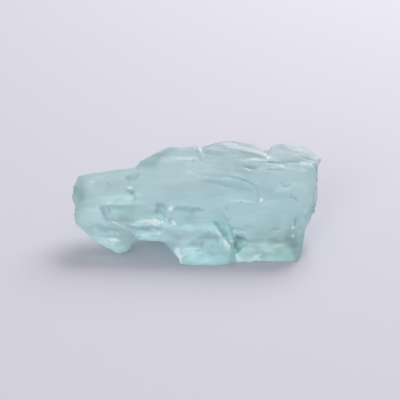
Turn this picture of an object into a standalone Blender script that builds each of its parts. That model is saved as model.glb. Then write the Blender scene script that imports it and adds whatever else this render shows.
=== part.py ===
"""A rough chip of pale emerald, broken from a larger crystal of beryl.

The chip lies along X, the crystal's own long axis, and rests on the flat break underneath it.
Its front is towards -Y. Every number is in millimetres until the mesh is made.
"""

import bmesh
import bpy
from mathutils import Matrix, Vector, noise
from math import radians

MM = 0.001

# Driving dimensions, in millimetres
LEFT_TIP = -15.1
RIGHT_TIP = 15.1
FRONT = -6.0
BACK = 6.2
CREST = 11.9  # top of the raised slab
SILL = 6.6  # lower edge of the broad sloping face
SHELF = 5.2  # top of the foot that stands forward below the sill
LEDGE = 5.0  # top of the ledge between lobe and foot
LOBE_LIFT = 0.5  # lowest point of the left lobe above the ground

GRAIN = 0.2  # mesh spacing while the breaks are bent
FACETS = 5000  # triangles left in the end
RIB_LENGTH, RIB_WIDTH, RIB_DEPTH = 9.0, 1.5, 0.16  # growth ribs along the crystal's axis
SWELL_SIZE, SWELL_DEPTH = 3.2, 0.25  # slow waviness of the breaks
BASE_CUT = 0.15  # taken off underneath to make the base flat

PALE_EMERALD = (0.55, 0.78, 0.80, 1.0)


def clear_scene():
    for thing in list(bpy.data.objects):
        bpy.data.objects.remove(thing)


def helper(name, shape):
    """An object that only joins or cuts the stone."""
    mesh = bpy.data.meshes.new(name)
    bmesh.ops.recalc_face_normals(shape, faces=shape.faces)
    shape.to_mesh(mesh)
    shape.free()
    thing = bpy.data.objects.new(name, mesh)
    bpy.context.scene.collection.objects.link(thing)
    thing.hide_render = True
    thing.display_type = "WIRE"
    return thing


def chunk(name, corners):
    """A block with flat broken faces: the tightest convex solid round its corners."""
    shape = bmesh.new()
    for corner in corners:
        shape.verts.new(Vector(corner) * MM)
    hull = bmesh.ops.convex_hull(shape, input=shape.verts)
    inside = [v for v in hull["geom_interior"] if isinstance(v, bmesh.types.BMVert)]
    bmesh.ops.delete(shape, geom=inside, context="VERTS")
    return helper(name, shape)


def scoop(name, centre, radii, turn=(0, 0, 0), rings=8):
    """A shell-shaped hollow: an ellipsoid, turned by degrees about X, then Y, then Z."""
    shape = bmesh.new()
    bmesh.ops.create_uvsphere(shape, u_segments=2 * rings, v_segments=rings, radius=1.0)
    about_x, about_y, about_z = (radians(a) for a in turn)
    place = (
        Matrix.Translation(Vector(centre) * MM)
        @ Matrix.Rotation(about_z, 4, "Z")
        @ Matrix.Rotation(about_y, 4, "Y")
        @ Matrix.Rotation(about_x, 4, "X")
        @ Matrix.Diagonal((*(Vector(radii) * MM), 1.0))
    )
    bmesh.ops.transform(shape, matrix=place, verts=shape.verts)
    return helper(name, shape)


def main_body():
    """A broad face that slopes up from the sill, a flat base, and a back that leans out over it."""
    return chunk("main_body", [
        (-7.4, 1.2, 9.9), (-5.2, 2.2, 10.8), (-3.1, 3.0, 11.5), (1.0, 3.6, 11.2), (12.0, 3.6, 10.6),
        (14.0, 2.2, 9.6), (-4.4, -2.7, 7.0), (-3.4, -3.2, SILL), (0.5, -3.4, SILL),
        (12.0, -3.6, 6.2), (13.4, -0.8, 5.2), (12.1, -3.0, 1.4), (11.2, -3.4, 0.0),
        (-3.4, -2.4, 4.4), (-1.6, -2.9, 0.0), (-2.6, 3.0, 0.0), (10.4, 3.1, 0.0),
        (-6.0, 2.8, 2.8), (12.6, 3.3, 3.2), (-5.4, 4.0, 6.4), (3.0, 3.8, 5.0),
        (12.4, 4.2, 6.6), (-7.0, 3.8, 9.2), (11.8, 4.6, 9.2),
    ])


def upper_terrace():
    """A sheet left standing above the broad face, along its top right."""
    return chunk("upper_terrace", [
        (-1.8, 0.3, 9.65), (1.0, -0.3, 9.5), (3.0, -0.7, 9.2), (6.4, -1.2, 8.85), (12.2, -2.1, 8.2),
        (13.6, -1.8, 7.9), (-1.6, 1.4, 10.35), (1.0, 1.3, 10.6), (7.7, 1.2, 10.6), (12.0, 1.0, 10.4),
        (14.3, 0.9, 9.9), (-1.2, 0.6, 9.2), (3.0, 0.0, 8.6), (6.4, -0.5, 8.2), (12.2, -1.4, 7.4),
        (12.0, 2.4, 9.6), (-1.0, 2.4, 9.6),
    ])


def right_terrace():
    """The same sheet where it turns down towards the right block."""
    return chunk("right_terrace", [
        (7.2, -1.4, 8.6), (7.4, -2.7, 7.3), (7.8, -3.5, 6.6), (12.3, -3.6, 6.5), (13.3, -2.8, 6.2),
        (12.4, -2.2, 8.1), (13.8, -1.8, 7.8), (14.2, 0.4, 9.4), (6.4, -0.8, 7.6), (5.6, -3.0, 5.4),
        (13.0, 0.0, 7.0),
        (12.6, -2.6, 4.6),
    ])


def upper_lobe():
    """The blunt tongue that runs out to the left."""
    return chunk("upper_lobe", [
        (LEFT_TIP, 0.0, 7.9), (-14.5, 1.2, 8.35), (LEFT_TIP, -1.0, 6.6), (-14.7, -1.8, 5.9),
        (-8.0, 1.0, 9.5), (-11.8, -2.4, 6.5), (-7.3, -2.9, 6.8), (-4.6, -3.0, 6.7),
        (-6.0, 1.8, 9.9), (-13.8, 3.0, 6.9), (-13.4, 2.8, 4.6), (-6.0, 4.8, 7.6),
        (-5.0, 3.6, 4.2), (-13.8, -1.6, 4.6), (-11.4, -2.0, 5.2), (-6.0, -2.4, 5.0),
        (-3.4, -2.9, 6.9), (-3.8, -0.4, 8.75), (-4.8, 1.2, 9.85),
    ])


def left_lip():
    """The blunt left end under the tongue."""
    return chunk("left_lip", [
        (-14.9, -2.2, 5.8), (-14.7, -2.5, 3.3), (-12.8, -3.2, 2.3), (-11.9, -2.9, 6.3),
        (-11.5, -3.4, 5.5), (-10.6, -4.0, 4.4), (-12.9, -3.4, 4.5), (-13.6, 1.8, 3.6),
        (-12.0, 2.2, 5.6), (-10.6, -1.0, 3.4), (-14.0, 0.6, 6.0), (-11.0, 1.0, 2.4),
    ])


def lower_lip():
    """The thin lip that hangs lowest under the tongue, clear of the ground."""
    return chunk("lower_lip", [
        (-10.2, -3.6, 4.8), (-9.2, -4.0, 4.3), (-8.2, -4.2, 3.5), (-7.4, -4.3, 2.8),
        (-8.0, -3.9, 1.7), (-8.4, -3.7, 0.8), (-9.5, -3.7, LOBE_LIFT), (-10.8, -3.5, 0.8),
        (-12.3, -3.2, 1.7), (-13.1, -3.0, 2.3),
        (-12.4, -3.0, 3.6), (-11.0, -3.6, 4.4), (-12.4, 1.2, 2.6), (-8.6, 0.8, 1.4),
        (-8.0, -1.2, 4.4), (-11.6, 0.8, 4.4),
    ])


def neck():
    """The ledge between the lobe and the foot."""
    return chunk("neck", [
        (-7.4, -2.0, 5.3), (-4.4, -2.2, 5.4), (-4.3, -4.0, LEDGE), (-7.7, -4.1, 4.9), (-9.4, -3.4, 5.0),
        (-3.0, -4.2, 4.6), (-1.2, -4.8, 4.4), (-4.4, -4.6, 2.95), (-6.9, -4.5, 2.75),
        (-1.6, -5.0, 2.4), (-8.8, -3.6, 3.2), (-8.4, 1.4, 3.0), (-2.0, 1.6, 1.8),
        (-8.0, 0.6, 4.8), (-2.0, 0.6, 4.8),
    ])


def foot():
    """The block that stands furthest forward and carries the chip."""
    return chunk("foot", [
        (-2.2, -3.4, 5.0), (1.6, -3.3, SHELF), (1.7, -3.9, SHELF), (-0.6, -4.1, SHELF),
        (-1.8, -4.3, 4.8), (2.0, -4.6, 4.8), (-3.0, -4.4, 4.3), (2.3, -5.0, 4.1), (4.0, -5.3, 2.1),
        (4.3, -5.5, 1.2), (3.8, -5.8, 0.0), (-0.8, -4.9, 4.3), (-0.6, -5.3, 3.2), (-2.5, -5.2, 2.2),
        (-3.2, -4.7, 3.4), (-4.2, -4.6, 2.8), (-2.4, -2.0, 0.6),
        (4.6, -2.0, 0.0), (-3.0, -1.0, 4.0), (3.6, -1.0, 4.4), (-1.8, -5.2, 0.2), (5.2, -4.6, 0.0),
    ])


def toe():
    """The low step along the bottom of the foot."""
    return chunk("toe", [
        (-2.5, -5.5, 1.9), (-0.4, -5.8, 2.0), (2.0, -5.9, 1.7), (3.9, -5.7, 1.4), (4.2, -5.6, 0.6),
        (3.5, FRONT, 0.0), (-1.2, FRONT, 0.0), (-2.2, -5.8, 0.7), (-2.6, -5.4, 1.2),
        (-2.0, -4.0, 0.0), (3.8, -4.0, 0.0), (-1.8, -4.6, 2.2), (3.4, -4.8, 1.8),
    ])


def right_block():
    """The squarer block to the right of the foot."""
    return chunk("right_block", [
        (2.8, -3.3, 6.3), (7.4, -3.5, 6.5), (12.0, -3.4, 6.4), (3.0, -3.9, 5.8), (7.4, -4.15, 5.9),
        (12.0, -4.0, 5.9), (3.2, -4.3, 4.9), (7.6, -4.6, 4.9), (11.8, -4.5, 4.9), (12.9, -3.0, 4.6),
        (12.4, -3.8, 2.0), (12.3, -4.4, 0.7), (12.0, -4.9, 0.3), (11.2, -5.1, 0.0), (5.0, -5.2, 0.0),
        (4.6, -4.9, 3.0), (3.6, -1.0, 5.0), (12.6, 0.0, 1.0), (4.6, 0.0, 0.0), (12.8, -0.6, 5.2),
        (11.0, 1.0, 0.0), (11.8, -4.8, 3.0),
    ])


def top_slab():
    """The raised slab along the crest, with a bevel along its top."""
    return chunk("top_slab", [
        (0.2, 1.4, 10.7), (0.9, 2.2, 11.5), (2.0, 3.6, CREST), (4.4, 3.9, CREST), (6.6, 3.9, 11.4),
        (7.9, 3.4, 10.8), (8.1, 2.4, 10.5), (7.8, 1.5, 9.9), (4.8, 1.1, 10.6), (2.4, 1.6, 11.4),
        (5.4, 2.0, 11.3), (0.6, 5.0, 10.6), (7.2, 5.2, 10.2), (7.2, 3.0, 8.6), (1.0, 3.0, 8.6),
    ])


def right_lump():
    """The clearer, thinner lump that overhangs the back at the top right corner."""
    return chunk("right_lump", [
        (8.4, 2.2, 10.4), (8.9, 4.0, 11.1), (10.4, 4.6, 11.2), (12.0, 4.4, 11.0), (13.6, 3.6, 10.4),
        (RIGHT_TIP, 2.7, 9.9), (14.5, 1.5, 9.6), (8.6, 1.0, 10.1), (9.2, 5.6, 10.2),
        (13.4, 5.4, 9.9), (14.2, 3.4, 8.8), (9.0, 3.4, 8.6), (12.0, 1.4, 10.8),
    ])


def right_rim():
    """The thin broken rim down the right end."""
    return chunk("right_rim", [
        (14.4, 1.6, 9.6), (13.8, 0.8, 8.0), (14.4, 0.2, 6.2), (14.1, -1.0, 4.9), (12.9, -2.6, 3.8),
        (12.0, -1.6, 7.4), (12.4, 3.0, 9.6), (13.8, 3.6, 6.6), (13.2, 3.0, 4.0), (12.0, -2.0, 3.4),
    ])


def back_overhang():
    """The upper half of the back, which leans out further than the lower half."""
    return chunk("back_overhang", [
        (-4.6, 3.4, 5.6), (2.0, 3.6, 4.6), (9.6, 3.4, 4.8), (-5.4, 4.6, 8.2), (-3.4, 5.6, 9.4),
        (2.0, BACK, 8.4), (8.8, BACK, 8.8), (12.4, 5.5, 9.0), (-3.0, 4.4, 10.6), (8.0, 4.8, 10.3),
        (-4.0, 2.0, 7.0), (10.0, 2.0, 7.0),
    ])


HOLLOWS = (
    # name, centre, radii, turn in degrees
    ("brow_scoop", (3.6, -1.9, 8.35), (3.8, 1.9, 0.6), (30, 6, 0)),
    ("sill_corner", (-4.2, -3.7, 6.2), (0.5, 1.1, 0.8), (0, -25, 0)),
    ("under_notch", (-5.0, -4.6, -0.2), (2.8, 4.0, 2.5), (0, 4, 0)),
    ("lip_hollow", (-11.1, -4.5, 3.2), (1.5, 0.9, 0.75), (0, 14, 0)),
    ("neck_hollow", (-5.6, -5.2, 3.9), (1.9, 0.75, 0.7), (0, 2, 0)),
    ("foot_wedge", (2.0, -6.0, 3.1), (1.7, 0.9, 0.75), (0, 20, 0)),
    ("crevice", (5.0, -5.6, 2.5), (0.6, 1.3, 1.3), (0, 18, 0)),
    ("crevice_top", (3.4, -4.8, 4.5), (0.9, 0.7, 0.35), (0, 6, 0)),
    ("brow_slit", (6.3, -0.1, 10.2), (1.1, 0.28, 0.4), (39, 5, 0)),
    ("rim_gash", (11.4, -3.1, 7.8), (0.85, 0.35, 0.5), (39, 38, 0)),
    ("rim_pit", (10.5, -1.9, 8.8), (0.8, 0.4, 0.45), (39, -14, 0)),
    ("tongue_gash", (-7.9, 0.1, 9.0), (0.95, 0.4, 0.5), (30, -32, 0)),
    ("tongue_pit", (-8.0, -1.6, 7.8), (0.5, 0.4, 0.45), (20, 30, 0)),
    ("crest_nick", (8.3, 2.2, 11.4), (0.4, 2.2, 0.8), (20, 12, 0)),
    ("back_scoop", (-1.0, 6.6, 4.6), (4.4, 2.7, 2.6), (0, 10, 14)),
    ("back_pit", (9.2, 7.0, 6.8), (3.0, 2.4, 1.8), (0, -8, -12)),
    ("end_scoop", (16.2, 1.0, 3.6), (3.0, 3.4, 2.4), (0, 0, 0)),
)

BLOCKS = (
    upper_terrace, right_terrace, upper_lobe, left_lip, lower_lip, neck, foot, toe, right_block,
    top_slab, right_lump, right_rim, back_overhang,
)


def joined_stone():
    """All blocks joined and all hollows cut, as one closed mesh."""
    stone = main_body()
    steps = [(block(), "UNION") for block in BLOCKS]
    steps += [(scoop(*hollow), "DIFFERENCE") for hollow in HOLLOWS]
    for other, operation in steps:
        joint = stone.modifiers.new(other.name, "BOOLEAN")
        joint.operation = operation
        joint.solver = "EXACT"
        joint.object = other
    graph = bpy.context.evaluated_depsgraph_get()
    mesh = bpy.data.meshes.new_from_object(stone.evaluated_get(graph))
    clear_scene()
    mesh.name = "raw_emerald"
    stone = bpy.data.objects.new("raw_emerald", mesh)
    bpy.context.scene.collection.objects.link(stone)
    return stone


def unevenness(place):
    """How far a natural break departs from flat at a place, all in millimetres."""
    ribs = Vector((place.x / RIB_LENGTH, place.y / RIB_WIDTH, place.z / RIB_WIDTH))
    return noise.noise_vector(ribs) * RIB_DEPTH + noise.noise_vector(place / SWELL_SIZE) * SWELL_DEPTH


def weather(stone):
    """Bends the breaks a little, then leaves small facets where they curve and large ones elsewhere."""
    even = stone.modifiers.new("even_mesh", "REMESH")
    even.mode = "VOXEL"
    even.voxel_size = GRAIN * MM
    graph = bpy.context.evaluated_depsgraph_get()
    mesh = bpy.data.meshes.new_from_object(stone.evaluated_get(graph))
    stone.modifiers.clear()
    shape = bmesh.new()
    shape.from_mesh(mesh)
    bmesh.ops.triangulate(shape, faces=shape.faces)
    for corner in shape.verts:
        corner.co += unevenness(corner.co / MM) * MM
    middle = [(min(side) + max(side)) / 2 for side in zip(*(corner.co for corner in shape.verts))]
    bmesh.ops.translate(shape, verts=shape.verts, vec=(-middle[0], -middle[1], -BASE_CUT * MM))
    facets = len(shape.faces)
    shape.to_mesh(mesh)
    shape.free()
    mesh.name = "raw_emerald"
    stone.data = mesh
    fewer = stone.modifiers.new("large_facets", "DECIMATE")
    fewer.ratio = FACETS / facets


def level_base(stone):
    """Cuts the break underneath flat at ground level."""
    ground = chunk("ground", [(x, y, z) for x in (-20, 20) for y in (-10, 10) for z in (-5, 0)])
    cut = stone.modifiers.new("flat_base", "BOOLEAN")
    cut.operation = "DIFFERENCE"
    cut.solver = "EXACT"
    cut.object = ground


def beryl():
    material = bpy.data.materials.new("pale_beryl")
    material.use_nodes = True
    surface = material.node_tree.nodes["Principled BSDF"]
    surface.inputs["Base Color"].default_value = PALE_EMERALD
    surface.inputs["Roughness"].default_value = 0.25
    surface.inputs["Metallic"].default_value = 0.0
    return material


clear_scene()
raw_emerald = joined_stone()
weather(raw_emerald)
level_base(raw_emerald)
raw_emerald.data.materials.clear()
raw_emerald.data.materials.append(beryl())
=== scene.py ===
"""A rough chip of pale emerald, broken from a larger beryl crystal, lying on a studio table."""

import bmesh
import bpy
import numpy as np
from math import radians
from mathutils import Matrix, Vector, kdtree, noise
from mathutils.bvhtree import BVHTree


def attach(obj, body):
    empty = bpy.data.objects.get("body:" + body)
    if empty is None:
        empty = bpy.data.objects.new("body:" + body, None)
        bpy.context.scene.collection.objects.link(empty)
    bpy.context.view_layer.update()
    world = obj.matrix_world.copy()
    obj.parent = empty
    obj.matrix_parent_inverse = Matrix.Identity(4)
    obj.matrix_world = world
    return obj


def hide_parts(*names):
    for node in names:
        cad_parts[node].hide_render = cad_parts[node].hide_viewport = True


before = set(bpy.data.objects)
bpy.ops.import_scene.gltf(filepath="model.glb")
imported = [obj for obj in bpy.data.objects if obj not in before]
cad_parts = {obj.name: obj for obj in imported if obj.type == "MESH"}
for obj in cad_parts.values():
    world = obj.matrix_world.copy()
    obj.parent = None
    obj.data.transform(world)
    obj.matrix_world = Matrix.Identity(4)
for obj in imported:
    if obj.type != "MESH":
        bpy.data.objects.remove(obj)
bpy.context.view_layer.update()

# The chip's form.
# One piece of beryl, broken out of a long crystal with a hammer and never cut or polished. Fine growth ribs
# run along its length, and its breaks are shell-shaped, with small fresh chips and pits along the edges.
MM = 0.001
MESH_STEP = 0.135 * MM
SAME_POINT = 0.0001 * MM  # corners closer than this are one corner


def fine_mesh(node):
    """The solid's own shape as an even, closed mesh, fine enough to carry ribs and chips."""
    shape = bmesh.new()
    shape.from_mesh(node.data)
    bmesh.ops.remove_doubles(shape, verts=shape.verts, dist=SAME_POINT)
    mesh = bpy.data.meshes.new("emerald_chip")
    shape.to_mesh(mesh)
    shape.free()
    chip = bpy.data.objects.new("emerald_chip", mesh)
    bpy.context.scene.collection.objects.link(chip)
    even = chip.modifiers.new("even", "REMESH")
    even.mode = "VOXEL"
    even.voxel_size = MESH_STEP
    worn = chip.modifiers.new("worn", "SMOOTH")
    worn.factor = 0.5
    worn.iterations = 1
    graph = bpy.context.evaluated_depsgraph_get()
    chip.data = bpy.data.meshes.new_from_object(chip.evaluated_get(graph))
    chip.modifiers.clear()
    return chip


def points_of(mesh):
    """Every vertex and its normal, as two arrays in millimetres."""
    places = np.empty(len(mesh.vertices) * 3, np.float32)
    normals = np.empty(len(mesh.vertices) * 3, np.float32)
    mesh.vertices.foreach_get("co", places)
    mesh.vertex_normals.foreach_get("vector", normals)
    return places.reshape(-1, 3) / MM, normals.reshape(-1, 3)


def push_out(mesh, places, normals, heights):
    """Moves every vertex along its normal, except that nothing sinks below the table."""
    moved = places + normals * heights[:, None]
    moved[:, 2] = np.maximum(moved[:, 2], 0.0)
    mesh.vertices.foreach_set("co", (moved * MM).astype(np.float32).ravel())
    mesh.update()


# Growth ribs and slow waves: size along the crystal, size across it, height, and a shift that sets it
# apart from the others (mm).
RIBS_AND_WAVES = (
    (7.0, 1.3, 0.07, 11.7),
    (3.5, 0.45, 0.03, 27.3),
    (2.2, 1.8, 0.08, 3.1),
)

# Shell-shaped breaks, which meet in sharp crests: length along the crystal, width across it, depth (mm).
SHELL_BREAKS = (
    (4.2, 1.5, 0.16),
    (1.6, 0.6, 0.07),
)


def soft_noise(places, along, across, shift):
    """Smooth noise at every vertex, from about -1 to 1, drawn out along the crystal. Sizes are in mm."""
    scaled = places / (along, across, across) + shift
    return np.array([noise.noise(Vector(place)) for place in scaled])


def ribs_and_waves(places):
    return sum(
        height * soft_noise(places, along, across, shift)
        for along, across, height, shift in RIBS_AND_WAVES
    )


def shell_breaks(places, along, across, depth, draw):
    """Hollows round points strewn at random: deepest at each point, with a crest halfway to the next."""
    scaled = places / (along, across, across)
    low, high = scaled.min(axis=0) - 1, scaled.max(axis=0) + 1
    strewn = draw.uniform(low, high, (int(np.prod(high - low)), 3))
    tree = kdtree.KDTree(len(strewn))
    for i, point in enumerate(strewn):
        tree.insert(point, i)
    tree.balance()
    near = np.array([tree.find(place)[2] for place in scaled])
    return depth * (np.minimum(near, 1.0) ** 2 - 0.4)


def broken_patches(places):
    """How broken the surface is at each vertex, from 0 on a clean growth face to 1 on a hammered break."""
    return np.clip(0.5 + 2.2 * soft_noise(places, 4.5, 2.6, 61.0), 0.1, 1.0)


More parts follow.
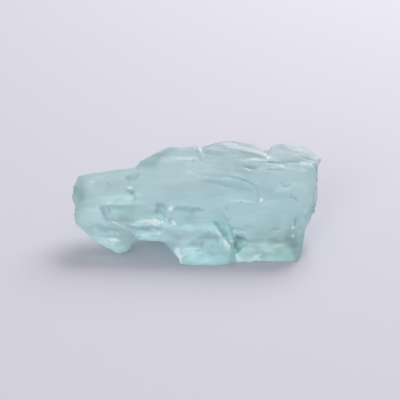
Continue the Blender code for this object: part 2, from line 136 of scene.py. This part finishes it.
# Chips, pits and nicks: name, start and end near the surface, half width, height and tone. Sizes are in mm,
# and a negative height is a hollow. The tone is painted light and shade. A tone above 0.5 is a crushed, white
# chip in its middle, which also serves as a painted glint. From there down to 0 it is a paler, smoother
# break, its paler colour a painted highlight. Below 0 it is painted shade, mostly in hollows and gashes, and
# -1 is as dark as a mark gets.
MARKS = (
    ("tongue gash", (-8.6, -0.3, 8.5), (-7.1, 0.2, 9.2), 0.60, -0.10, -0.7),
    ("light edge of the gash", (-8.9, -0.7, 8.2), (-7.6, -0.5, 8.7), 0.22, 0.10, 0.3),
    ("tongue pit", (-8.1, -1.4, 7.7), (-7.7, -1.6, 7.4), 0.30, -0.20, -0.8),
    ("tongue pit rim", (-8.3, -1.2, 8.0), (-7.7, -1.2, 7.8), 0.24, 0.14, 0.8),
    ("tongue small pit", (-7.6, -1.9, 7.1), (-7.2, -2.1, 6.9), 0.26, -0.20, -0.5),
    ("light streak by the pit", (-8.6, -2.0, 7.1), (-7.9, -2.2, 6.9), 0.30, 0.08, 0.4),
    ("tongue nick", (-10.8, -0.4, 8.0), (-10.5, -0.5, 8.0), 0.28, -0.14, 0.2),
    ("tip facet", (-13.0, 0.0, 8.1), (-12.6, -0.8, 7.5), 0.70, 0.16, 0.48),
    ("tip hollow", (-14.2, -0.4, 7.2), (-13.4, -1.5, 6.4), 0.80, -0.14, -0.2),
    ("hollow under the tongue", (-10.8, -2.5, 5.8), (-7.6, -2.6, 5.6), 0.90, -0.10, -0.15),
    ("edge of that hollow", (-10.8, -2.4, 6.0), (-10.6, -2.5, 4.9), 0.26, 0.18, 0.5),
    ("lip hollow", (-12.4, -3.4, 3.7), (-9.4, -4.0, 3.3), 0.80, -0.25, -0.7),
    ("lip spot", (-11.0, -4.1, 4.3), (-10.8, -4.1, 4.2), 0.28, 0.16, 0.7),
    ("lip ridge", (-10.3, -3.4, 4.8), (-9.3, -3.8, 4.3), 0.34, 0.14, 0.6),
    ("lip ridge going down", (-8.9, -3.8, 4.0), (-7.6, -4.1, 3.1), 0.30, 0.10, 0.55),
    ("shade beside that ridge", (-8.2, -4.0, 4.2), (-6.8, -4.2, 3.4), 0.50, -0.14, -0.4),
    ("lip dash", (-10.6, -3.8, 2.2), (-9.2, -4.0, 2.1), 0.26, 0.16, 0.9),
    ("light lower end of the lip", (-13.6, -3.0, 4.6), (-11.6, -3.4, 1.9), 0.90, 0.06, 0.35),
    ("light rim of the lip", (-11.8, -3.3, 1.5), (-8.6, -3.8, 1.0), 0.60, 0.06, 0.5),
    ("ledge", (-7.2, -3.7, 5.2), (-4.8, -3.9, 5.1), 0.60, 0.10, 0.7),
    ("ledge chip", (-4.9, -3.7, 5.4), (-4.5, -4.2, 4.9), 0.38, 0.22, 1.3),
    ("neck hollow", (-7.0, -4.4, 3.9), (-4.4, -4.7, 3.8), 0.60, -0.20, -0.45),
    ("neck rib", (-6.7, -4.4, 3.0), (-4.6, -4.7, 3.1), 0.22, 0.14, 0.5),
    ("sill crescent", (-4.8, -2.8, 6.8), (-4.2, -3.0, 5.7), 0.60, -0.25, -0.7),
    ("step chip on the left", (-3.7, -3.6, 5.7), (-3.4, -3.8, 5.3), 0.28, 0.22, 1.0),
    ("step chip above", (-3.3, -3.4, 6.3), (-2.9, -3.5, 5.9), 0.34, 0.22, 1.0),
    ("step chip below", (-2.9, -3.8, 5.4), (-2.5, -4.1, 4.7), 0.42, 0.22, 1.3),
    ("undercut below the sill", (-2.6, -3.3, 5.9), (0.6, -3.3, 5.9), 0.60, -0.22, -0.8),
    ("shelf dash", (-0.4, -3.8, 5.3), (1.6, -3.8, 5.2), 0.28, 0.10, 0.8),
    ("foot rib", (-1.3, -5.4, 2.1), (0.6, -5.5, 2.1), 0.22, 0.14, 0.6),
    ("second foot rib", (0.8, -5.3, 2.7), (2.2, -5.2, 2.7), 0.22, 0.10, 0.3),
    ("foot corner", (-2.3, -5.2, 2.0), (-1.8, -5.7, 0.4), 0.38, 0.20, 1.0),
    ("light foot of the foot", (-0.8, -5.9, 0.9), (3.6, -5.8, 0.8), 0.70, 0.05, 0.35),
    ("foot wedge", (0.6, -5.2, 3.2), (3.0, -4.9, 3.2), 0.65, -0.25, -0.5),
    ("foot's slanting edge", (2.2, -4.9, 4.2), (3.0, -5.1, 3.3), 0.34, 0.18, 1.0),
    ("its lower end", (3.2, -5.1, 3.0), (3.9, -5.2, 2.2), 0.34, 0.20, 1.3),
    ("groove behind that edge", (3.1, -4.2, 4.2), (4.4, -4.8, 2.8), 0.40, -0.22, -0.8),
    ("crevice", (4.7, -4.6, 3.2), (5.0, -4.9, 1.8), 0.45, -0.25, -0.9),
    ("crevice's right wall", (5.4, -4.6, 2.9), (5.9, -4.8, 2.3), 0.40, -0.10, -0.8),
    ("pit in the crevice", (5.0, -4.7, 2.9), (5.0, -4.7, 2.8), 0.20, -0.15, -1.0),
    ("second pit in the crevice", (4.9, -4.9, 1.3), (4.9, -4.9, 1.2), 0.20, -0.15, -1.0),
    ("light edge below the crevice", (5.2, -4.9, 1.5), (6.0, -4.9, 1.9), 0.24, 0.12, 0.5),
    ("crevice groove", (3.4, -4.3, 4.2), (5.8, -4.6, 4.0), 0.28, -0.18, -0.8),
    ("crevice roof", (2.2, -3.9, 5.1), (3.8, -4.2, 5.0), 0.50, -0.20, -0.8),
    ("block nick", (8.6, -4.6, 4.1), (9.8, -4.6, 4.1), 0.26, -0.14, -0.5),
    ("block corner gash", (11.4, -4.4, 5.4), (11.7, -4.5, 4.7), 0.32, -0.22, -0.5),
    ("block speck above", (11.8, -4.4, 5.0), (11.8, -4.5, 4.6), 0.20, 0.16, 1.0),
    ("block speck", (11.3, -4.7, 4.5), (11.1, -4.7, 4.2), 0.20, 0.16, 1.0),
    ("block speck below", (11.3, -4.8, 3.6), (11.3, -4.8, 3.2), 0.20, 0.14, 1.0),
    ("right edge speck", (12.2, -4.2, 4.0), (12.1, -4.2, 3.4), 0.26, 0.14, 0.6),
    ("lowest block speck", (9.8, -4.9, 1.3), (9.8, -4.9, 1.2), 0.20, -0.10, -1.0),
    ("chip at the block's foot", (4.8, -5.1, 1.0), (5.2, -5.2, 0.3), 0.40, 0.20, 1.0),
    ("second chip there", (5.4, -5.2, 0.3), (7.6, -5.2, 0.3), 0.30, 0.12, 0.7),
    ("third chip there", (7.0, -5.1, 0.9), (7.4, -5.2, 0.5), 0.34, 0.14, 0.7),
    ("band above the block", (7.0, -3.9, 6.1), (12.0, -3.8, 6.1), 0.60, 0.06, 0.2),
    ("bottom of the brow", (0.4, -0.6, 8.9), (6.4, -1.6, 8.0), 0.60, -0.05, -0.35),
    ("brow slit", (5.6, 0.4, 9.9), (7.1, 0.2, 9.9), 0.26, -0.14, -0.8),
    ("second brow slit", (8.4, 0.0, 9.8), (10.3, 0.0, 9.8), 0.22, -0.12, -0.6),
    ("light band above the step", (-1.4, 0.9, 9.9), (5.0, 0.2, 9.7), 0.50, 0.04, 0.15),
    ("face swelling", (3.2, -3.2, 6.8), (6.6, -3.0, 6.9), 0.50, 0.12, 0.3),
    ("face speck", (3.5, -3.3, 6.4), (3.5, -3.3, 6.3), 0.22, -0.10, -1.0),
    ("face dark speck", (5.2, -2.9, 6.9), (5.2, -3.0, 6.8), 0.18, -0.10, -0.7),
    ("terrace pit", (10.0, -1.5, 8.5), (10.8, -1.6, 8.5), 0.40, -0.25, -0.7),
    ("terrace line", (9.4, -1.9, 8.0), (11.0, -2.0, 7.9), 0.24, 0.14, 0.4),
    ("terrace gash", (11.1, -2.4, 7.7), (11.8, -3.0, 7.2), 0.36, -0.28, -0.9),
    ("terrace chip", (7.6, -2.7, 7.2), (7.6, -2.9, 7.0), 0.22, 0.20, 1.0),
    ("crest line", (-4.1, 1.3, 10.3), (-0.2, 1.5, 10.3), 0.22, 0.12, 0.4),
    ("crest shade", (-4.4, 1.9, 10.7), (0.2, 2.2, 10.7), 0.55, -0.05, -0.2),
    ("crest pit", (-0.8, 1.4, 10.2), (-0.3, 1.3, 10.2), 0.30, -0.14, -0.5),
    ("slab's left bevel", (0.2, 2.9, 10.9), (0.7, 1.4, 10.5), 0.40, 0.14, 0.48),
    ("slab's top band", (1.6, 3.0, 11.6), (4.2, 3.0, 11.5), 0.55, 0.04, 0.2),
    ("slab's front", (1.0, 1.8, 10.9), (5.6, 1.7, 10.9), 0.65, -0.08, -0.15),
    ("slab's front on the right", (5.0, 1.4, 10.6), (7.9, 1.5, 10.2), 0.60, -0.06, -0.3),
    ("slab wedge", (4.4, 3.4, 11.6), (7.4, 3.2, 11.1), 0.55, -0.06, -0.3),
    ("slab speck", (4.5, 3.2, 11.7), (4.6, 3.1, 11.7), 0.22, 0.14, 1.0),
    ("notch chip", (8.3, 2.2, 10.6), (8.4, 1.8, 10.2), 0.24, 0.12, 0.8),
    ("lump shade", (8.6, 1.0, 10.2), (12.2, 0.9, 10.4), 0.42, -0.12, -0.6),
    ("lump line", (12.3, 1.8, 10.8), (14.2, 1.8, 10.1), 0.22, -0.12, -0.4),
    ("crushed edge of the rim", (14.6, 0.6, 8.9), (14.4, -0.6, 5.8), 0.32, 0.04, 0.6),
    ("rim bite", (14.2, 0.9, 8.2), (14.2, 0.6, 7.6), 0.50, -0.12, 0.45),
    ("lower rim bite", (14.0, -1.2, 4.8), (13.6, -1.8, 4.2), 0.50, -0.12, 0.45),
    ("right end step", (14.4, 1.8, 5.4), (13.8, -1.2, 4.8), 0.60, -0.25, -0.5),
    ("right end chip", (14.0, 0.4, 3.2), (13.9, -0.6, 2.6), 0.36, 0.20, 0.55),
    ("right end line", (14.4, 1.8, 7.6), (14.2, -1.8, 7.0), 0.24, -0.14, -0.6),
    ("right end hollow", (14.0, 3.4, 8.8), (14.2, 2.0, 6.8), 0.90, -0.30, -0.4),
    ("back groove", (-4.0, 6.0, 7.4), (8.0, 6.0, 7.0), 0.35, -0.18, -0.6),
    ("back step", (-9.0, 5.0, 4.2), (2.0, 6.0, 4.6), 0.90, -0.35, -0.4),
    ("edge of the back step", (-8.0, 5.0, 5.3), (1.0, 6.0, 5.7), 0.32, 0.22, 0.4),
    ("back chip", (5.0, 6.0, 6.0), (5.7, 6.0, 5.0), 0.40, 0.22, 0.5),
    ("back hollow", (8.4, 6.0, 4.4), (11.4, 5.4, 3.2), 1.10, -0.40, -0.5),
    ("light edge of that hollow", (8.0, 6.0, 5.6), (11.8, 5.4, 4.8), 0.28, 0.20, 0.45),
    ("back corner chip", (12.8, 4.4, 6.4), (13.0, 4.0, 5.0), 0.45, 0.22, 0.55),
    ("back nick", (-11.2, 3.0, 6.6), (-10.0, 3.2, 6.2), 0.45, -0.25, -0.5),
    ("back line on the tongue", (-12.6, 2.6, 5.0), (-9.0, 3.6, 5.2), 0.26, -0.14, -0.6),
    ("left end chip", (-14.6, 0.6, 6.6), (-14.3, 1.4, 5.8), 0.40, 0.22, 0.5),
    ("left end groove", (-14.2, -0.6, 4.8), (-13.4, 1.4, 4.0), 0.45, -0.22, -0.6),
    ("groove behind the crest", (-6.0, 4.0, 10.0), (3.0, 4.4, 10.6), 0.32, -0.16, -0.6),
    ("chip behind the crest", (-1.6, 4.6, 10.0), (-0.6, 5.0, 9.6), 0.36, 0.20, 0.5),
)


def along_surface(tree, start, end, steps=6):
    """Points on the surface from start to end."""
    start, end = Vector(start), Vector(end)
    return [tree.find_nearest(start.lerp(end, i / (steps - 1)))[0] for i in range(steps)]


def marks(mesh, places):
    """Height and tone of the marks at every vertex, the tone being painted light and shade. Marks narrow
    towards their ends, with ragged edges.
    """
    faces = [tuple(face.vertices) for face in mesh.polygons]
    tree = BVHTree.FromPolygons([Vector(place) for place in places], faces)
    ragged = 1 + 0.9 * soft_noise(places, 0.9, 0.45, 43.0) + 0.6 * soft_noise(places, 0.4, 0.25, 53.0)
    ragged = np.maximum(ragged, 0.5)  # below this a mark would spread far past its width
    heights = np.zeros(len(places))
    light_and_shade_tones = np.zeros(len(places))
    for _, start, end, half_width, height, tone in MARKS:
        away = np.full(len(places), np.inf)
        line = along_surface(tree, start, end)
        for i, (a, b) in enumerate(zip(line, line[1:])):
            a, b = np.array(a), np.array(b)
            run = b - a
            share = np.clip((places - a) @ run / max(run @ run, 1e-9), 0, 1)
            taper = 0.45 + 0.55 * np.sin(np.pi * (i + share) / (len(line) - 1))
            away = np.minimum(away, np.linalg.norm(places - a - share[:, None] * run, axis=1) / taper)
        away = away / half_width * ragged
        heights += height * np.clip(1 - away ** 2, 0, 1)
        light_and_shade_tones += tone * np.clip(1 - away, 0, 1) ** (0.6 if tone > 0 else 1.0)
    return heights, np.clip(light_and_shade_tones, -1, 1)


# Places where the stone differs, as iron stain, painted shade, painted light and frost: name, centre, reach
# along x, y and z in mm, and strength.
# Brownish with iron.
IRON_PATCHES = (
    ("right block", (9.2, -4.4, 2.0), (4.6, 2.4, 3.2), 0.55),
    ("brown stain", (9.8, -4.8, 2.4), (1.2, 1.2, 0.8), 0.9),
    ("upper crevice", (4.8, -4.6, 3.0), (0.6, 1.0, 0.6), 1.2),
    ("lower crevice", (5.3, -4.8, 2.1), (0.8, 1.0, 0.6), 1.2),
    ("second brown stain", (10.8, -4.8, 3.0), (0.9, 1.2, 0.6), 0.7),
    ("tongue", (-11.0, -0.8, 7.6), (3.6, 2.6, 1.6), 0.22),
)
# Painted shade: darker and bluer, in the crevice, below the slab, the notch and the step, and over the glow
# on the foot and neck.
PAINTED_SHADE_PATCHES = (
    ("foot", (0.2, -5.0, 2.9), (3.2, 1.2, 1.5), 0.4),
    ("neck", (-5.4, -4.5, 3.2), (2.4, 1.0, 0.9), 0.2),
    ("crest on the left", (-6.2, 1.6, 9.8), (2.4, 0.8, 0.8), 0.35),
    ("left end", (-13.8, -1.3, 6.7), (1.1, 1.0, 0.7), 0.4),
    ("brow", (5.2, -0.2, 9.4), (3.6, 1.6, 1.1), 0.35),
    ("band under the slab", (4.6, 1.3, 10.4), (4.0, 0.8, 0.5), 0.25),
    ("bottom of the foot", (1.0, -5.7, 1.2), (3.6, 1.2, 1.2), 0.4),
    ("crevice", (5.0, -4.7, 2.6), (0.7, 1.0, 0.9), 0.9),
    ("top of the slab", (3.2, 3.2, 11.6), (3.2, 1.6, 0.6), 0.2),
    ("slab's right end", (6.6, 2.3, 10.9), (2.4, 1.2, 0.8), 0.2),
    ("top of the lump", (10.8, 2.8, 11.2), (2.6, 1.6, 0.8), 0.2),
    ("edge under the notch", (8.8, 1.3, 10.1), (1.6, 0.6, 0.5), 0.8),
    ("tip of the lump", (13.0, 2.2, 10.7), (1.8, 1.6, 0.8), 0.4),
    ("shade below the step", (5.2, -1.0, 8.6), (2.6, 1.4, 0.7), 0.5),
)
# Thin parts, where the breaks are less rough and their fine frost is thicker.
CALM_PATCHES = (
    ("lump", (11.6, 2.6, 10.6), (3.6, 2.6, 1.4), 0.8),
    ("slab", (4.8, 2.8, 11.2), (4.0, 1.6, 0.9), 0.6),
    ("right rim", (14.4, 0.2, 6.8), (1.0, 3.0, 3.6), 0.7),
)
# Painted light: lighter and almost colourless, on the rim, the ledge, the slab's front and the face, where
# they look bright under these lamps.
PAINTED_LIGHT_PATCHES = (
    ("right rim", (14.5, 0.2, 7.6), (1.0, 2.4, 3.2), 1.0),
    ("strip beside the rim", (12.9, -2.0, 7.2), (1.4, 2.2, 2.6), 0.8),
    ("middle of the face", (-0.6, -1.0, 8.2), (3.6, 2.0, 1.4), 0.55),
    ("crest on the left", (-2.6, 1.6, 10.4), (2.4, 1.2, 0.8), 0.4),
    ("front of the slab", (3.6, 2.0, 10.9), (3.4, 1.2, 0.6), 0.7),
    ("ledge", (-6.0, -3.8, 5.2), (1.8, 0.8, 0.7), 0.9),
)
# Painted shade: greyer and less green, dimming the glow of light that comes through the foot, neck, block,
# slab and lump.
GREY_SHADE_PATCHES = (
    ("bottom of the foot", (1.0, -5.8, 1.4), (4.2, 1.6, 1.9), 1.0),
    ("neck", (-5.4, -4.5, 3.4), (2.6, 1.2, 1.2), 0.9),
    ("right block", (8.2, -4.8, 1.8), (3.8, 1.6, 1.8), 0.8),
    ("shelf of the foot", (-1.4, -5.0, 2.8), (2.0, 1.4, 1.4), 1.0),
    ("slab", (4.8, 3.2, 11.4), (3.4, 1.4, 0.7), 1.0),
    ("slab's right end", (7.2, 2.6, 10.8), (2.0, 1.6, 0.9), 1.0),
    ("band above the step", (5.0, 0.4, 9.8), (3.6, 0.9, 0.6), 0.5),
    ("lump", (11.4, 3.2, 10.8), (3.4, 2.6, 1.2), 0.8),
    ("tip of the lump", (13.6, 2.4, 10.4), (1.4, 2.0, 0.9), 0.7),
)


def patches(places, spots):
    """How strong an effect is at each vertex: full at each patch's centre, and a third at its reach."""
    strength = np.zeros(len(places))
    for _, centre, reach, share in spots:
        away = np.linalg.norm((places - centre) / reach, axis=1)
        strength = np.maximum(strength, share * np.exp(-away ** 2))
    return strength


def mottled(places):
    """Uneven strength for the iron stain and the painted shade, about 1."""
    return np.clip(1 + 0.8 * soft_noise(places, 1.2, 0.6, 71.0), 0, 1.6)


def streaks(places):
    """Faint light and dark streaks along the crystal, from about -1 to 1."""
    return 1.6 * soft_noise(places, 4.0, 0.6, 83.0) + 0.9 * soft_noise(places, 1.4, 0.3, 97.0)


def keep_values(mesh, name, values):
    """Stores one value for each vertex, for the material to read."""
    mesh.attributes.new(name, "FLOAT", "POINT").data.foreach_set("value", values.astype(np.float32))


STREAK_STRENGTH = 0.12
BREAKS_DRAW = 7  # the random draw of the shell-shaped breaks

cad_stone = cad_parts["raw_emerald"]
chip = fine_mesh(cad_stone)
places, normals = points_of(chip.data)
draw = np.random.default_rng(BREAKS_DRAW)
breaks = sum(shell_breaks(places, *size, draw) for size in SHELL_BREAKS)
# The marks' tones are painted light and shade: highlights and white chips above 0, shade below 0.
mark_heights, light_and_shade_tones = marks(chip.data, places)
highlight_and_chip_tones = np.maximum(light_and_shade_tones, 0)
painted_shade_tones = np.maximum(-light_and_shade_tones, 0)
calm = patches(places, CALM_PATCHES)
heights = (1 - calm) * (ribs_and_waves(places) + broken_patches(places) * breaks) + mark_heights
push_out(chip.data, places, normals, heights)
# The fresh-chip values lighten the colour as painted highlights and glints, and also make the frost smoother.
keep_values(chip.data, "fresh_and_glint", highlight_and_chip_tones)
keep_values(chip.data, "calm", calm)
# The pale patches are painted light.
keep_values(chip.data, "pale", patches(places, PAINTED_LIGHT_PATCHES))
uneven = mottled(places)
# Painted shade from the marks and the patches, with faint random streaks along the crystal.
shade_and_streaks = painted_shade_tones + uneven * patches(places, PAINTED_SHADE_PATCHES) + STREAK_STRENGTH * streaks(places)
keep_values(chip.data, "shade_and_streaks", shade_and_streaks)
keep_values(chip.data, "iron", uneven * patches(places, IRON_PATCHES))
# The greyer patches are painted shade.
keep_values(chip.data, "grey_shade", uneven * patches(places, GREY_SHADE_PATCHES))
chip.data.shade_smooth()

# The chip's substance.
# Milky, faintly iron-coloured beryl. Natural breaks leave it finely frosted, so shapes behind it blur. Light
# that goes through it loses red first, so thick parts look blue-green and thin ones almost clear. The middles
# of struck chips are crushed to white powder, which also serves as painted glints. Its colour also carries
# painted light and shade: paler patches and chip edges, and darker, greyer patches and hollows.
BERYL_IOR = 1.577
CLEARNESS = 0.72  # the rest of the light is scattered, as in a milky stone
LUSTRE = 0.15
LUSTRE_ROUGHNESS = 0.2
CLEAR_BERYL = "#EDFBFB"
SHADE_AND_STREAK_FILTER = "#B8CFD0"
IRON_FILTER = "#C0B9A8"
GREY_SHADE_FILTER = "#E2D0D5"
PAINTED_LIGHT_BERYL = "#FDFFFF"
# White crushed powder of struck chips, which also serves as painted glints.
BRUISE_AND_GLINT = "#F2FFFF"
THIN_BRUISE_AND_GLINT = "#DDF9F8"
WHITE_CHIP_FROM = 0.5  # the tone from which a chip is crushed
FINE_FROST, COARSE_FROST = 0.38, 0.52  # roughness of the natural breaks
THIN_PART_FROST = 0.7
FRESH_ROUGHNESS = 0.25
POWDER_ROUGHNESS = (0.45, 0.65)
CLOUD_SIZE = 0.9 * MM
GRAIN_SIZE = 0.35 * MM
POWDER_SIZE = 0.2 * MM
GRAIN_DEPTH = 0.02 * MM
BERYL_TINT = (0.20, 0.93, 0.95, 1.0)
BERYL_DEPTH = 54.0  # absorption per metre for a colour that is fully absorbed


def linear(hex_colour):
    """An sRGB hex colour as linear red, green, blue and alpha."""
    channels = [int(hex_colour[i:i + 2], 16) / 255 for i in (1, 3, 5)]
    return (*(c / 12.92 if c <= 0.04045 else ((c + 0.055) / 1.055) ** 2.4 for c in channels), 1.0)


def add_node(tree, kind, settings=None, links=None):
    """Adds a node. settings are its properties or input values, and links are its inputs' sources."""
    node = tree.nodes.new(kind)
    for name, value in (settings or {}).items():
        if name in node.inputs:
            node.inputs[name].default_value = value
        else:
            setattr(node, name, value)
    for name, source in (links or {}).items():
        tree.links.new(source, node.inputs[name])
    return node


def broken_beryl():
    """The stone's own substance, with its frost, its iron stain, its painted light and shade and the growth
    grain along the crystal.
    """
    material = bpy.data.materials.new("broken_beryl")
    material.use_nodes = True
    tree = material.node_tree
    surface = tree.nodes["Principled BSDF"]
    fresh_and_glint, calm, pale, shade_and_streaks, iron, grey_shade = (
        add_node(tree, "ShaderNodeAttribute", {"attribute_name": name}).outputs["Fac"]
        for name in ("fresh_and_glint", "calm", "pale", "shade_and_streaks", "iron", "grey_shade")
    )
    colour = add_node(tree, "ShaderNodeRGB")
    colour.outputs["Color"].default_value = linear(CLEAR_BERYL)
    # The iron blend is the stone's own stain. The greyer blend is painted shade, the darker one painted shade
    # with random streaks, and the pale and fresh-chip blends are painted light.
    for share, blend, other in (
        (iron, "MULTIPLY", IRON_FILTER),
        (grey_shade, "MULTIPLY", GREY_SHADE_FILTER),
        (shade_and_streaks, "MULTIPLY", SHADE_AND_STREAK_FILTER),
        (pale, "MIX", PAINTED_LIGHT_BERYL),
        (fresh_and_glint, "MIX", PAINTED_LIGHT_BERYL),
    ):
        colour = add_node(
            tree, "ShaderNodeMixRGB",
            {"blend_type": blend, "Color2": linear(other)},
            {"Fac": share, "Color1": colour.outputs["Color"]},
        )
    place = add_node(tree, "ShaderNodeTexCoord").outputs["Object"]
    stretched = add_node(tree, "ShaderNodeMapping", {"Scale": (0.25, 1.0, 1.0)}, {"Vector": place})
    cloudy = add_node(
        tree, "ShaderNodeTexNoise",
        {"Scale": 1 / CLOUD_SIZE, "Detail": 4.0},
        {"Vector": stretched.outputs["Vector"]},
    )
    frost = add_node(
        tree, "ShaderNodeMapRange",
        {"From Min": 0.35, "From Max": 0.65, "To Min": FINE_FROST, "To Max": COARSE_FROST},
        {"Value": cloudy.outputs["Fac"]},
    )
    thicker_frost = add_node(
        tree, "ShaderNodeMapRange",
        {"To Max": THIN_PART_FROST},
        {"Value": calm, "To Min": frost.outputs["Result"]},
    )
    roughness = add_node(
        tree, "ShaderNodeMapRange",
        {"To Max": FRESH_ROUGHNESS},
        {"Value": fresh_and_glint, "To Min": thicker_frost.outputs["Result"]},
    )
    grain = add_node(
        tree, "ShaderNodeTexNoise",
        {"Scale": 1 / GRAIN_SIZE, "Detail": 3.0},
        {"Vector": stretched.outputs["Vector"]},
    )
    bump = add_node(
        tree, "ShaderNodeBump",
        {"Strength": 0.5, "Distance": GRAIN_DEPTH},
        {"Height": grain.outputs["Fac"]},
    )
    surface.inputs["IOR"].default_value = BERYL_IOR
    surface.inputs["Transmission Weight"].default_value = CLEARNESS
    surface.inputs["Coat Weight"].default_value = LUSTRE
    surface.inputs["Coat Roughness"].default_value = LUSTRE_ROUGHNESS
    surface.inputs["Coat IOR"].default_value = BERYL_IOR
    tree.links.new(colour.outputs["Color"], surface.inputs["Base Color"])
    tree.links.new(roughness.outputs["Result"], surface.inputs["Roughness"])
    tree.links.new(bump.outputs["Normal"], surface.inputs["Normal"])
    depth = add_node(tree, "ShaderNodeVolumeAbsorption", {"Color": BERYL_TINT, "Density": BERYL_DEPTH})
    tree.links.new(depth.outputs["Volume"], tree.nodes["Material Output"].inputs["Volume"])
    return material


def bruise_and_glint_beryl():
    """The white bloom where a blow crushed the surface, which also serves as a painted glint. Fine powder
    scatters light and isn't see-through.
    """
    material = bpy.data.materials.new("bruise_and_glint_beryl")
    material.use_nodes = True
    tree = material.node_tree
    surface = tree.nodes["Principled BSDF"]
    place = add_node(tree, "ShaderNodeTexCoord").outputs["Object"]
    powder = add_node(
        tree, "ShaderNodeTexNoise",
        {"Scale": 1 / POWDER_SIZE, "Detail": 3.0},
        {"Vector": place},
    )
    colour = add_node(
        tree, "ShaderNodeMixRGB",
        {"Color1": linear(THIN_BRUISE_AND_GLINT), "Color2": linear(BRUISE_AND_GLINT)},
        {"Fac": powder.outputs["Fac"]},
    )
    roughness = add_node(
        tree, "ShaderNodeMapRange",
        {"To Min": POWDER_ROUGHNESS[0], "To Max": POWDER_ROUGHNESS[1]},
        {"Value": powder.outputs["Fac"]},
    )
    bump = add_node(
        tree, "ShaderNodeBump",
        {"Strength": 0.5, "Distance": GRAIN_DEPTH},
        {"Height": powder.outputs["Fac"]},
    )
    surface.inputs["IOR"].default_value = BERYL_IOR
    tree.links.new(colour.outputs["Color"], surface.inputs["Base Color"])
    tree.links.new(roughness.outputs["Result"], surface.inputs["Roughness"])
    tree.links.new(bump.outputs["Normal"], surface.inputs["Normal"])
    return material


def bruise_and_glint(mesh, fresh_and_glint):
    """Gives the second material to every face that lies well inside a fresh chip: crushed white powder that
    is also a painted glint.
    """
    for face in mesh.polygons:
        face.material_index = int(fresh_and_glint[list(face.vertices)].mean() > WHITE_CHIP_FROM)


chip.data.materials.clear()
chip.data.materials.append(broken_beryl())
chip.data.materials.append(bruise_and_glint_beryl())
bruise_and_glint(chip.data, highlight_and_chip_tones)
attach(chip, "root")
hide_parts("raw_emerald")

# The table.
# A wide, matt sheet of pale lilac-grey paper. It stands for any flat surface and isn't part of the object.
PAPER = "#C9C7D0"
TABLE_HALF = 2.0
GAP = 0.01 * MM


def paper_table():
    mesh = bpy.data.meshes.new("table")
    corners = [(x, y, -GAP) for x, y in ((-1, -1), (1, -1), (1, 1), (-1, 1))]
    mesh.from_pydata([(x * TABLE_HALF, y * TABLE_HALF, z) for x, y, z in corners], [], [(0, 1, 2, 3)])
    table = bpy.data.objects.new("table", mesh)
    bpy.context.scene.collection.objects.link(table)
    material = bpy.data.materials.new("matt_paper")
    material.use_nodes = True
    surface = material.node_tree.nodes["Principled BSDF"]
    surface.inputs["Base Color"].default_value = linear(PAPER)
    surface.inputs["Roughness"].default_value = 0.8
    surface.inputs["Specular IOR Level"].default_value = 0.2
    mesh.materials.append(material)
    return table


paper_table()

# The light.
# A white tent all round gives the even light. A wide, soft lamp stands behind the chip to the right, so that
# light comes through the stone towards the viewer and the shadow falls to the left. A smaller, weaker lamp in
# front lightens the chips' near sides.
TENT = "#F1F0F6"
TENT_STRENGTH = 0.54
LAMP_PLACE = Vector((0.10, 0.18, 0.21))
LAMP_SIZE = 0.22
LAMP_WATTS = 0.74
GLINT_PLACE = Vector((-0.08, -0.22, 0.14))
GLINT_SIZE = 0.16
GLINT_WATTS = 0.22
CHIP_MIDDLE = Vector((0.0, 0.0, 5.0)) * MM


def tent():
    world = bpy.data.worlds.new("tent")
    world.use_nodes = True
    background = world.node_tree.nodes["Background"]
    background.inputs["Color"].default_value = linear(TENT)
    background.inputs["Strength"].default_value = TENT_STRENGTH
    bpy.context.scene.world = world


def aim(thing, place, target):
    thing.location = place
    thing.rotation_euler = (place - target).to_track_quat("Z", "Y").to_euler()


def soft_lamp(name, place, size, watts):
    light = bpy.data.lights.new(name, "AREA")
    light.shape = "DISK"
    light.size = size
    light.energy = watts
    lamp = bpy.data.objects.new(name, light)
    bpy.context.scene.collection.objects.link(lamp)
    aim(lamp, place, CHIP_MIDDLE)


tent()
soft_lamp("lamp_behind_right", LAMP_PLACE, LAMP_SIZE, LAMP_WATTS)
soft_lamp("small_lamp_in_front", GLINT_PLACE, GLINT_SIZE, GLINT_WATTS)

# The camera.
# It looks at the chip's long front from 28 degrees above the table, through a long lens 200 mm away.
CAMERA_HEIGHT = radians(28.0)
CAMERA_DISTANCE = 200.0 * MM
CAMERA_LENS = 150.0
CAMERA_TARGET = Vector((0.36, 0.0, 5.64)) * MM


def camera():
    lens = bpy.data.cameras.new("camera")
    lens.lens = CAMERA_LENS
    lens.sensor_width = 36.0
    lens.clip_start = 0.01
    lens.clip_end = 10.0
    viewer = bpy.data.objects.new("camera", lens)
    bpy.context.scene.collection.objects.link(viewer)
    away = Vector((0.0, -np.cos(CAMERA_HEIGHT), np.sin(CAMERA_HEIGHT)))
    aim(viewer, CAMERA_TARGET + away * CAMERA_DISTANCE, CAMERA_TARGET)
    bpy.context.scene.camera = viewer


camera()
scene = bpy.context.scene
scene.view_settings.view_transform = "Standard"
scene.cycles.use_denoising = True
scene.cycles.max_bounces = 16
scene.cycles.transmission_bounces = 16
